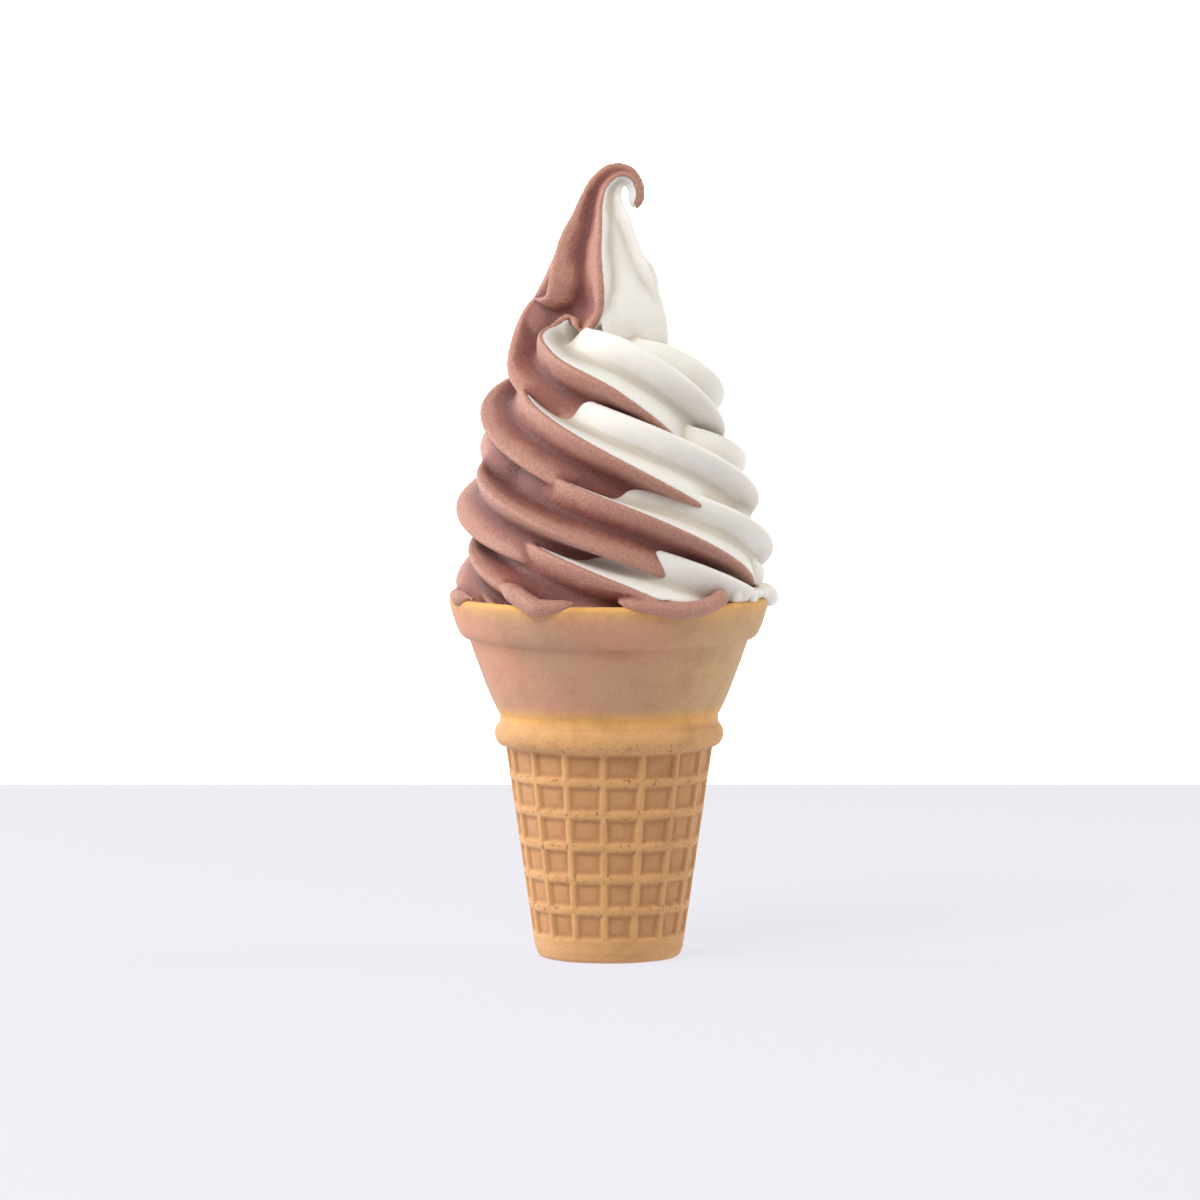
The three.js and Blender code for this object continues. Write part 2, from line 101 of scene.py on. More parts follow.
@dataclass
class Skin:
    """Points in millimetres, and the faces that join them."""

    points: Array
    faces: list[tuple[int, ...]]

    @staticmethod
    def loft(rows: Array) -> "Skin":
        """Make a closed tube through rows of points, each end capped at its middle.

        Args:
            rows: points as (row, place in the row, xyz).

        Returns:
            The closed skin.
        """
        count, across = rows.shape[:2]
        faces = []
        for i in range(count - 1):
            for j in range(across):
                a = i * across + j
                b = i * across + (j + 1) % across
                faces.append((a, b, b + across, a + across))
        low, high = count * across, count * across + 1
        last = (count - 1) * across
        for j in range(across):
            k = (j + 1) % across
            faces.append((low, k, j))
            faces.append((high, last + j, last + k))
        ends = np.stack([rows[0].mean(axis=0), rows[-1].mean(axis=0)])
        return Skin(np.concatenate([rows.reshape(-1, 3), ends]), faces)

    @staticmethod
    def joined(skins: list["Skin"]) -> "Skin":
        """Put several skins into one, without joining their surfaces."""
        faces: list[tuple[int, ...]] = []
        offset = 0
        for skin in skins:
            faces.extend(tuple(corner + offset for corner in face) for face in skin.faces)
            offset += len(skin.points)
        return Skin(np.concatenate([skin.points for skin in skins]), faces)

    def to_object(self, name: str) -> bpy.types.Object:
        """Make a Blender object of this skin, in metres, and link it to the scene."""
        mesh = bpy.data.meshes.new(name)
        mesh.from_pydata((self.points * MM).tolist(), [], self.faces)
        mesh.update()
        thing = bpy.data.objects.new(name, mesh)
        bpy.context.scene.collection.objects.link(thing)
        return thing


def points_of(thing: bpy.types.Object) -> Array:
    """Read an object's mesh points, in millimetres."""
    flat = np.zeros(len(thing.data.vertices) * 3, np.float32)
    thing.data.vertices.foreach_get("co", flat)
    return flat.reshape(-1, 3).astype(float) / MM


def move_points(thing: bpy.types.Object, points: Array) -> None:
    """Write an object's mesh points, given in millimetres."""
    thing.data.vertices.foreach_set("co", (points * MM).astype(np.float32).ravel())
    thing.data.update()


def normals_of(thing: bpy.types.Object) -> Array:
    """Read the normal at each mesh point of an object."""
    flat = np.zeros(len(thing.data.vertices) * 3, np.float32)
    thing.data.vertices.foreach_get("normal", flat)
    return flat.reshape(-1, 3).astype(float)


def shade_smooth(thing: bpy.types.Object) -> None:
    """Shade an object's faces as one smooth surface."""
    thing.data.polygons.foreach_set("use_smooth", [True] * len(thing.data.polygons))
    thing.data.update()


def paint(thing: bpy.types.Object, name: str, values: Array) -> None:
    """Store one number for each mesh point, for a material to read by name."""
    layer = thing.data.attributes.new(name, "FLOAT", "POINT")
    layer.data.foreach_set("value", values.astype(np.float32))


RELIEF_PULL = 0.6


def edge_ends(mesh: bpy.types.Mesh) -> tuple[Array, Array]:
    """First and second point of each edge of a mesh."""
    ends = np.zeros(len(mesh.edges) * 2, np.int64)
    mesh.edges.foreach_get("vertices", ends)
    first, second = ends.reshape(-1, 2).T
    return first, second


def paint_relief(thing: bpy.types.Object, rounds: int, full: float) -> None:
    """Store two masks for painted light: how far each point stands out, and how far it sinks in.

    The mesh is smoothed in thought: points that it would draw in are crests, where a highlight is
    painted, and points that it would push out are hollows, where shade is painted.

    Args:
        thing: the object, which keeps its shape.
        rounds: rounds of smoothing, which set how wide the crests and hollows are.
        full: shift in millimetres that gives a mask its full strength.
    """
    first, second = edge_ends(thing.data)
    points = points_of(thing)
    count = len(points)
    friends = np.maximum(np.bincount(first, minlength=count) + np.bincount(second, minlength=count), 1)
    moved = points.copy()
    for _ in range(rounds):
        for axis in range(3):
            column = moved[:, axis]
            near = np.bincount(first, column[second], count) + np.bincount(second, column[first], count)
            moved[:, axis] = (1.0 - RELIEF_PULL) * column + RELIEF_PULL * near / friends
    shift = ((moved - points) * normals_of(thing)).sum(axis=1)
    # Masks for painted light: a highlight on the crests, shade in the hollows.
    paint(thing, "crest_highlight", smooth_step(-shift, 0.0, full))
    paint(thing, "hollow_shade", smooth_step(shift, 0.0, full))


def main_island(thing: bpy.types.Object) -> None:
    """Delete every loose part of a mesh except the largest."""
    mesh = thing.data
    first, second = edge_ends(mesh)
    label = np.arange(len(mesh.vertices))
    while True:
        low = np.minimum(label[first], label[second])
        lower = label.copy()
        np.minimum.at(lower, first, low)
        np.minimum.at(lower, second, low)
        lower = lower[lower]
        if np.array_equal(lower, label):
            break
        label = lower
    names, sizes = np.unique(label, return_counts=True)
    keep = label == names[np.argmax(sizes)]
    if keep.all():
        return
    number = np.cumsum(keep) - 1
    faces = [tuple(face.vertices) for face in mesh.polygons]
    kept = [tuple(int(number[corner]) for corner in face) for face in faces if keep[face[0]]]
    fresh = bpy.data.meshes.new(mesh.name)
    fresh.from_pydata((points_of(thing)[keep] * MM).tolist(), [], kept)
    fresh.update()
    thing.data = fresh


def settle(thing: bpy.types.Object) -> None:
    """Replace an object's mesh by what its modifiers make of it."""
    graph = bpy.context.evaluated_depsgraph_get()
    mesh = bpy.data.meshes.new_from_object(thing.evaluated_get(graph))
    thing.modifiers.clear()
    thing.data = mesh


@dataclass(frozen=True)
class Melt:
    """How overlapping skins are melted into one surface."""

    voxel: float = 0.5
    rounds: int = 5
    softness: float = 0.5
    most_faces: int = 190_000

    def apply(self, thing: bpy.types.Object) -> None:
        """Melt an object's skins into one closed surface of triangles.

        Args:
            thing: the object, whose mesh is replaced.
        """
        union = thing.modifiers.new("union", "REMESH")
        union.mode = "VOXEL"
        union.voxel_size = self.voxel * MM
        soften = thing.modifiers.new("soften", "SMOOTH")
        soften.factor = self.softness
        soften.iterations = self.rounds
        settle(thing)
        main_island(thing)
        triangles = 2 * len(thing.data.polygons)
        if triangles > self.most_faces:
            fewer = thing.modifiers.new("fewer", "DECIMATE")
            fewer.ratio = self.most_faces / triangles
            settle(thing)


# ---------------------------------------------------------------------------------------------
# Finishes
# ---------------------------------------------------------------------------------------------


class Maps:
    """The node tree of one material, with short calls for the nodes that the finishes need."""

    def __init__(self, name: str) -> None:
        """Start a material with a plain shader.

        Args:
            name: the material's name.
        """
        self.material = bpy.data.materials.new(name)
        self.material.use_nodes = True
        self.nodes = self.material.node_tree.nodes
        self.links = self.material.node_tree.links
        self.shader = self.nodes["Principled BSDF"]
        self.place = self.nodes.new("ShaderNodeTexCoord").outputs["Object"]

    def set(self, **values: float | Colour) -> None:
        """Set the shader's own sockets; an underscore stands for a space in a socket's name."""
        for name, value in values.items():
            socket = self.shader.inputs[name.replace("_", " ")]
            if isinstance(value, tuple) and len(socket.default_value) == 4:
                value = (*value, 1.0)
            socket.default_value = value

    def painted(self, name: str) -> bpy.types.NodeSocket:
        """Read a number stored at the mesh points."""
        node = self.nodes.new("ShaderNodeAttribute")
        node.attribute_name = name
        return node.outputs["Fac"]

    def noise(self, grain: float, detail: float = 2.0, rough: float = 0.5) -> bpy.types.NodeSocket:
        """Make cloudy noise from 0 to 1.

        Args:
            grain: size of one cloud in millimetres.
            detail: how many finer layers are added.
            rough: strength of the finer layers.

        Returns:
            The noise as a socket.
        """
        node = self.nodes.new("ShaderNodeTexNoise")
        node.inputs["Scale"].default_value = 1.0 / (grain * MM)
        node.inputs["Detail"].default_value = detail
        node.inputs["Roughness"].default_value = rough
        self.links.new(self.place, node.inputs["Vector"])
        return node.outputs["Fac"]

    def ramp(self, fac: bpy.types.NodeSocket, low: float, high: float) -> bpy.types.NodeSocket:
        """Stretch a value so that it eases from 0 to 1.

        Args:
            fac: the value to stretch.
            low: what becomes 0, with all below it.
            high: what becomes 1, with all above it.

        Returns:
            The stretched value as a socket.
        """
        node = self.nodes.new("ShaderNodeMapRange")
        node.interpolation_type = "SMOOTHSTEP"
        node.inputs["From Min"].default_value = low
        node.inputs["From Max"].default_value = high
        self.links.new(fac, node.inputs["Value"])
        return node.outputs["Result"]

    def product(self, a: bpy.types.NodeSocket, b: bpy.types.NodeSocket | float) -> bpy.types.NodeSocket:
        """Multiply a value by another value or by a number."""
        return self._math("MULTIPLY", a, b)

    def total(self, a: bpy.types.NodeSocket, b: bpy.types.NodeSocket | float) -> bpy.types.NodeSocket:
        """Add a value to another value or to a number."""
        return self._math("ADD", a, b)

    def _math(
        self, kind: str, a: bpy.types.NodeSocket, b: bpy.types.NodeSocket | float
    ) -> bpy.types.NodeSocket:
        """Work out one sum or product.

        Args:
            kind: MULTIPLY or ADD.
            a: the first value.
            b: the second value, or a number.

        Returns:
            The result as a socket.
        """
        node = self.nodes.new("ShaderNodeMath")
        node.operation = kind
        self.links.new(a, node.inputs[0])
        if isinstance(b, bpy.types.NodeSocket):
            self.links.new(b, node.inputs[1])
        else:
            node.inputs[1].default_value = b
        return node.outputs[0]

    def mix(
        self,
        fac: bpy.types.NodeSocket,
        a: bpy.types.NodeSocket | Colour,
        b: bpy.types.NodeSocket | Colour,
    ) -> bpy.types.NodeSocket:
        """Mix two colours.

        Args:
            fac: 0 for the first colour, 1 for the second.
            a: the first colour, or a socket that gives it.
            b: the second colour, or a socket that gives it.

        Returns:
            The mixed colour as a socket.
        """
        node = self.nodes.new("ShaderNodeMix")
        node.data_type = "RGBA"
        self.links.new(fac, node.inputs["Factor"])
        for slot, value in ((6, a), (7, b)):
            if isinstance(value, bpy.types.NodeSocket):
                self.links.new(value, node.inputs[slot])
            else:
                node.inputs[slot].default_value = (*value, 1.0)
        return node.outputs[2]

    def colour(self, value: bpy.types.NodeSocket) -> None:
        """Give the shader its colour."""
        self.links.new(value, self.shader.inputs["Base Color"])

    def roughness(self, value: bpy.types.NodeSocket) -> None:
        """Give the shader its roughness."""
        self.links.new(value, self.shader.inputs["Roughness"])

    def bump(self, layers: list[tuple[bpy.types.NodeSocket, float]]) -> None:
        """Raise the surface by several height maps.

        Args:
            layers: pairs of a height map from 0 to 1 and its depth in millimetres.
        """
        normal = None
        for height, depth in layers:
            node = self.nodes.new("ShaderNodeBump")
            node.inputs["Strength"].default_value = 1.0
            node.inputs["Distance"].default_value = depth * MM
            self.links.new(height, node.inputs["Height"])
            if normal is not None:
                self.links.new(normal, node.inputs["Normal"])
            normal = node.outputs["Normal"]
        self.links.new(normal, self.shader.inputs["Normal"])


@dataclass(frozen=True)
class CreamFinish:
    """Frozen cream: light through it, painted highlights on its crests, painted shade in its hollows,
    mottling and a frosty grain.
    """

    name: str
    base: Colour
    pale: Colour
    # Painted highlight: the colour that the crests are lightened towards, and how far.
    crest_highlight: Colour
    crest_highlight_share: float
    # Painted shade: the colour that the hollows are darkened towards, and how far; the random specks also
    # take this colour.
    hollow_shade_and_speck: Colour
    hollow_shade_share: float
    speckle: float
    glow: Colour
    glow_reach: float
    glow_share: float
    gloss: float
    frost: float
    frost_tint: Colour
    grain_depth: float
    cloud_size: float = 9.0
    cloud_share: float = 0.4
    speck_size: float = 0.7
    gloss_size: float = 1.6
    gloss_spread: float = 0.18
    grain_size: float = 0.55
    pebble_size: float = 1.5
    pebble_share: float = 0.6
    sheen_spread: float = 0.45

    def material(self) -> bpy.types.Material:
        """Build the node material."""
        maps = Maps(self.name)
        clouds = maps.ramp(maps.noise(self.cloud_size, 3.0), 0.35, 0.7)
        specks = maps.ramp(maps.noise(self.speck_size, 3.0, 0.7), 0.3, 0.72)
        mottled = maps.mix(maps.product(clouds, self.cloud_share), self.base, self.pale)
        # Painted highlight on the crests and painted shade in the hollows, over the real mottling.
        highlighted = maps.mix(maps.product(maps.painted("crest_highlight"), self.crest_highlight_share), mottled, self.crest_highlight)
        sunk = maps.mix(maps.product(maps.painted("hollow_shade"), self.hollow_shade_share), highlighted, self.hollow_shade_and_speck)
        # The random specks are real; they borrow the painted shade's colour.
        maps.colour(maps.mix(maps.product(specks, self.speckle), sunk, self.hollow_shade_and_speck))
        patches = maps.product(maps.noise(self.gloss_size, 3.0), self.gloss_spread)
        maps.roughness(maps.total(patches, self.gloss))
        grain = maps.noise(self.grain_size, 4.0, 0.65)
        pebbles = maps.noise(self.pebble_size, 2.0, 0.5)
        maps.bump([(pebbles, self.pebble_share * self.grain_depth), (grain, self.grain_depth)])
        maps.set(
            Subsurface_Weight=self.glow_share,
            Subsurface_Radius=self.glow,
            Subsurface_Scale=self.glow_reach * MM,
            Sheen_Weight=self.frost,
            Sheen_Roughness=self.sheen_spread,
            Sheen_Tint=self.frost_tint,
            Specular_IOR_Level=0.5,
        )
        return maps.material


CHOCOLATE = CreamFinish(
    name="chocolate_cream",
    base=(0.275, 0.080, 0.054),
    pale=(0.310, 0.104, 0.072),
    crest_highlight=(0.560, 0.285, 0.205),
    crest_highlight_share=0.9,
    hollow_shade_and_speck=(0.120, 0.022, 0.014),
    hollow_shade_share=0.85,
    speckle=0.34,
    glow=(1.0, 0.38, 0.25),
    glow_reach=0.7,
    glow_share=0.2,
    gloss=0.36,
    frost=0.15,
    frost_tint=(1.0, 0.88, 0.88),
    grain_depth=0.32,
)

VANILLA = CreamFinish(
    name="vanilla_cream",
    base=(0.755, 0.722, 0.660),
    pale=(0.785, 0.755, 0.700),
    crest_highlight=(0.860, 0.838, 0.790),
    crest_highlight_share=0.85,
    hollow_shade_and_speck=(0.585, 0.515, 0.420),
    hollow_shade_share=0.85,
    speckle=0.12,
    glow=(1.0, 0.78, 0.52),
    glow_reach=2.4,
    glow_share=0.5,
    gloss=0.38,
    frost=0.1,
    frost_tint=(1.0, 0.97, 0.92),
    grain_depth=0.09,
)


@dataclass(frozen=True)
class WaferFinish:
    """Baked wafer: golden ribs with painted shade in the recessed cells, a dusty bowl with painted warm
    side light on its right, toasted flecks and a dry grain.
    """

    # Raised ribs keep the first colour; the recessed cells take the second, darker one as painted shade.
    rib: Colour = (0.665, 0.362, 0.145)
    cell: Colour = (0.525, 0.262, 0.108)
    bowl: Colour = (0.520, 0.300, 0.190)
    # Painted warm side light: the bowl is tinted towards this colour on its +X side.
    lit_side_colour: Colour = (0.590, 0.385, 0.190)
    gold: Colour = (0.860, 0.470, 0.115)
    toast: Colour = (0.300, 0.130, 0.045)
    blush: Colour = (0.600, 0.290, 0.185)
    lit_side_share: float = 0.85
    baked_size: float = 7.0
    baked_share: float = 0.28
    fleck_size: float = 1.1
    fleck_share: float = 0.85
    flour_size: float = 0.5
    flour_share: float = 0.16
    roughness: float = 0.62
    relief_depth: float = 0.10

    def material(self) -> bpy.types.Material:
        """Build the node material."""
        maps = Maps("wafer")
        # Painted shade: colour follows the relief, darker down in the cells and at their edges.
        shaded_grid = maps.mix(maps.painted("rib"), self.cell, self.rib)
        dusty = maps.mix(maps.ramp(maps.noise(26.0, 1.0), 0.35, 0.65), self.bowl, self.blush)
        # Painted warm side light, stronger towards the bowl's +X side.
        bowl = maps.mix(maps.product(maps.painted("east"), self.lit_side_share), dusty, self.lit_side_colour)
        body = maps.mix(maps.painted("bowl"), shaded_grid, bowl)
        golden = maps.mix(maps.painted("gold"), body, self.gold)
        baked = maps.ramp(maps.noise(self.baked_size, 4.0, 0.6), 0.42, 0.75)
        toasted = maps.mix(maps.product(baked, self.baked_share), golden, self.toast)
        flecks = maps.ramp(maps.noise(self.fleck_size, 2.0), 0.60, 0.70)
        pits = maps.product(maps.product(flecks, maps.painted("pits")), self.fleck_share)
        flecked = maps.mix(pits, toasted, self.toast)
        flour = maps.ramp(maps.noise(self.flour_size, 2.0), 0.3, 0.7)
        maps.colour(maps.mix(maps.product(flour, self.flour_share), flecked, self.toast))
        maps.roughness(maps.total(maps.product(maps.noise(2.0, 2.0), 0.2), self.roughness))
        blister = maps.noise(2.4, 2.0)
        crumb = maps.noise(0.6, 4.0, 0.7)
        maps.bump([(blister, self.relief_depth), (crumb, self.relief_depth)])
        maps.set(
            Subsurface_Weight=0.15,
            Subsurface_Radius=(1.0, 0.5, 0.25),
            Subsurface_Scale=0.8 * MM,
            Specular_IOR_Level=0.3,
            Sheen_Weight=0.1,
            Sheen_Roughness=0.6,
        )
        return maps.material


@dataclass(frozen=True)
class StageFinish:
    """Plain paint of the studio's floor and backdrop."""

    name: str
    colour: Colour
    glow: float = 0.0

    def material(self) -> bpy.types.Material:
        """Build the node material."""
        maps = Maps(self.name)
        maps.set(Base_Color=self.colour, Roughness=0.9, Specular_IOR_Level=0.0)
        if self.glow:
            maps.set(Emission_Color=self.colour, Emission_Strength=self.glow)
        return maps.material


# ---------------------------------------------------------------------------------------------
# Wafer cup
# ---------------------------------------------------------------------------------------------


@dataclass
class WaferCup:
    """Flat-bottomed cup: ribbed tapering stem, collar ring, plain flared bowl and rim band."""

    height: float
    rim_radius: float
    rim_lip: float = 1.1
    band_foot: float = 78.2
    band_foot_radius: float = 35.0
    band_step: float = 0.9
    neck_height: float = 58.6
    neck_radius: float = 26.0
    collar_height: float = 54.8
    collar_radius: float = 27.9
    collar_half: float = 3.0
    stem_top: float = 51.6
    stem_top_radius: float = 25.2
    foot_radius: float = 17.7
    foot_round: float = 1.8
    wall: float = 2.1
    floor: float = 2.6
    upright_ribs: int = 16
    first_upright: float = 266.8
    upright_width: float = 1.6
    ring_ribs: int = 5
    lowest_ring: float = 12.9
    ring_pitch: float = 7.9
    ring_width: float = 2.0
    plain_foot: float = 6.1
    relief: float = 0.95
    pillow: float = 0.22
    seam_bearing: float = 269.0
    seam_height: float = 0.09
    seam_width: float = 0.45
    collar_bulge: float = 2.4
    row_height: float = 0.42
    base_middle: float = 8.0
    centre_hole: float = 0.02
    unevenness: float = 0.22
    unevenness_size: float = 6.0
    columns: int = 400

    def stem_radius(self, height: Array) -> Array:
        """Outside radius of the stem at a height, over the ribs."""
        return self.foot_radius + (self.stem_top_radius - self.foot_radius) * height / self.stem_top

    def bore_radius(self, height: Array) -> Array:
        """Inside radius of the cup at a height."""
        heights = [0.0, self.stem_top, self.neck_height, self.neck_height + 4.4]
        radii = [self.foot_radius, self.stem_top_radius, self.neck_radius, self.neck_radius + 2.3]
        heights += [self.neck_height + 11.0, self.band_foot, self.height]
        radii += [self.neck_radius + 5.2, self.band_foot_radius, self.rim_radius]
        return np.interp(height, heights, radii) - self.wall

    def _bands(self, height: float) -> tuple[float, float]:
        """Distance to the nearest ring rib's middle, and to the nearest end of the cells."""
        rings = [self.lowest_ring + self.ring_pitch * k for k in range(self.ring_ribs)]
        nearest = min(abs(height - ring) for ring in rings)
        return nearest, min(height - self.plain_foot, self.stem_top - height)

    def _ribs(self, height: float, bearings: Array) -> Array:
        """How far each bearing at a height is raised: 1 on a rib, less than 0 at a cell's edge.

        Args:
            height: height up the stem.
            bearings: bearings round the stem in degrees.

        Returns:
            The raised share of the relief at each bearing.
        """
        pitch = 360.0 / self.upright_ribs
        off_rib = np.abs((bearings - self.first_upright + pitch / 2) % pitch - pitch / 2)
        across = np.radians(off_rib) * float(self.stem_radius(height))
        nearest, inside = self._bands(height)
        to_upright = across - self.upright_width / 2
        to_ring = min(nearest - self.ring_width / 2, inside)
        edge = np.minimum(to_upright, to_ring)
        raised = 1.0 - smooth_step(edge, -0.35, 0.55)
        return raised + self.pillow * smooth_step(edge, 0.5, 1.9)

    def _profile(self) -> list[tuple[float, float, str]]:
        """Points of the outline from the middle of the base round to the middle of the floor."""
        out: list[tuple[float, float, str]] = [
            (self.centre_hole, 0.0, "foot"),
            (self.base_middle, 0.0, "foot"),
        ]
        corner = self.foot_radius - self.foot_round
        for angle in np.linspace(0, 90, 7):
            turn = math.radians(angle)
            out.append((corner + self.foot_round * math.sin(turn),
                        self.foot_round * (1 - math.cos(turn)), "foot"))
        top = self.stem_top - 0.2
        for height in np.arange(self.foot_round + 0.5, top, self.row_height):
            out.append((float(self.stem_radius(height)), float(height), "stem"))
        for angle in np.linspace(-88, 62, 17):
            turn = math.radians(angle)
            bulge = self.collar_radius - self.collar_bulge * (1 - math.cos(turn))
            out.append((bulge, self.collar_height + self.collar_half * math.sin(turn), "collar"))
        for share in np.linspace(0.04, 1.0, 40):
            height = self.neck_height + (self.band_foot - 0.5 - self.neck_height) * share
            out.append((self._bowl_radius(height), height, "bowl"))
        for share in np.linspace(0.0, 1.0, 16):
            height = self.band_foot + (self.height - self.rim_lip - self.band_foot) * share
            radius = self.band_foot_radius + (self.rim_radius - self.band_foot_radius) * share**0.55
            out.append((radius, height, "band"))
        middle = self.rim_radius - self.rim_lip
        for angle in np.linspace(20, 180, 9):
            turn = math.radians(angle)
            out.append((middle + self.rim_lip * math.cos(turn),
                        self.height - self.rim_lip + self.rim_lip * math.sin(turn), "rim"))
        for height in np.linspace(self.height - 1.8, self.floor, 34):
            out.append((float(self.bore_radius(height)), float(height), "inside"))
        out += [(self.base_middle, self.floor, "inside"), (self.centre_hole, self.floor, "inside")]
        return out

    def _bowl_radius(self, height: float) -> float:
        """Outside radius of the plain flared bowl at a height."""
        share = (height - self.neck_height) / (self.band_foot - self.neck_height)
        top = self.band_foot_radius - self.band_step
        return self.neck_radius + (top - self.neck_radius) * share**0.82

    def _creases(self, height: float, bearings: Array) -> Array:
        """Height of the faint slanting creases in the top row of cells near the front."""
        total = np.zeros_like(bearings)
        for start, slope, low, high in ((251.5, 2.9, 46.6, 50.2), (272.5, 3.4, 47.8, 50.6)):
            if low < height < high:
                along = start + slope * (height - low)
                total += 0.2 * bell(np.radians(angle_between(bearings, along)) * 24.0, 0.35)
        return total

    def build(self, finish: WaferFinish) -> bpy.types.Object:
        """Make the cup's mesh and dress it.

        Args:
            finish: the wafer's finish.

        Returns:
            The finished piece.
        """
        bearings = np.arange(self.columns) * 360.0 / self.columns
        turn = np.radians(bearings)
        rows, rib, bowl, gold, pits, east = [], [], [], [], [], []
        for radius, height, zone in self._profile():
            raised = self._ribs(height, bearings) if zone == "stem" else np.ones(self.columns)
            sunk = self.relief * (raised - 1.0)
            if zone == "stem":
                sunk = sunk + self._creases(height, bearings)
            if zone in ("bowl", "band"):
                off_seam = np.radians(angle_between(bearings, self.seam_bearing)) * radius
                sunk = sunk + self.seam_height * bell(off_seam, self.seam_width)
            out = radius + sunk
            rows.append(np.stack([out * np.cos(turn), out * np.sin(turn), np.full_like(turn, height)], -1))
            # The relief height is also the mask for the painted shade in the cells.
            rib.append(raised)
            bowl.append(np.full(self.columns, self._bowl_share(height, zone)))
            gold.append(np.full(self.columns, self._gold_share(height, zone)))
            pits.append(self._pit_share(height, zone, bearings))
            # Mask for the painted warm side light: 0 on the -X side, 1 on the +X side.
            east.append(smooth_step(np.cos(turn), -0.1, 0.9))
        skin = Skin.loft(np.array(rows))
        piece = skin.to_object("wafer_cup_baked")
        self._roughen(piece)
        tables = {"rib": rib, "bowl": bowl, "gold": gold, "pits": pits, "east": east}
        for name, table in tables.items():
            values = np.concatenate([np.array(table).ravel(), [table[0][0], table[-1][0]]])
            paint(piece, name, values)
        shade_smooth(piece)
        piece.data.materials.append(finish.material())
        return piece

    def _bowl_share(self, height: float, zone: str) -> float:
        """How much of the bowl's dusty tone a height has."""
        if zone not in ("bowl", "band"):
            return 0.0
        return float(smooth_step(np.array(height), self.neck_height + 0.5, self.neck_height + 4.5))

    def _gold_share(self, height: float, zone: str) -> float:
        """How golden a height is: the neck, the rim and the top of the band."""
        if zone in ("rim", "inside"):
            return 0.75
        if zone in ("bowl", "band"):
            neck = bell(np.array(height - self.neck_height), 2.6)
            rim = bell(np.array(height - self.height), 3.0)
            return float(0.8 * neck + 0.7 * rim)
        return 0.0

    def _pit_share(self, height: float, zone: str, bearings: Array) -> Array:
        """How pitted each bearing at a height is: the ring ribs and the collar's lower side."""
        if zone == "collar":
            return np.full_like(bearings, 0.8 if height < self.collar_height else 0.25)
        if zone == "stem":
            nearest, _ = self._bands(height)
            return np.full_like(bearings, 1.0 if nearest < self.ring_width * 0.7 else 0.12)
        return np.full_like(bearings, 0.2 if zone in ("foot", "rim") else 0.05)

    def _roughen(self, piece: bpy.types.Object) -> None:
        """Make the moulded surface slightly uneven, as baked wafer is, but keep its base flat."""
        clouds = bpy.data.textures.new("wafer_unevenness", "CLOUDS")
        clouds.noise_scale = self.unevenness_size * MM
        clouds.noise_depth = 3
        uneven = piece.modifiers.new("uneven", "DISPLACE")
        uneven.texture = clouds
        uneven.texture_coords = "LOCAL"
        uneven.strength = self.unevenness * MM
        settle(piece)
        points = points_of(piece)
        points[:, 2] = np.maximum(points[:, 2], 0.0)
        move_points(piece, points)


# ---------------------------------------------------------------------------------------------
# Soft serve
# ---------------------------------------------------------------------------------------------


class Flavour(Enum):
    """The two flavours, each by the bearing in degrees of its side of the nozzle."""

    CHOCOLATE = 180.0
    VANILLA = 0.0


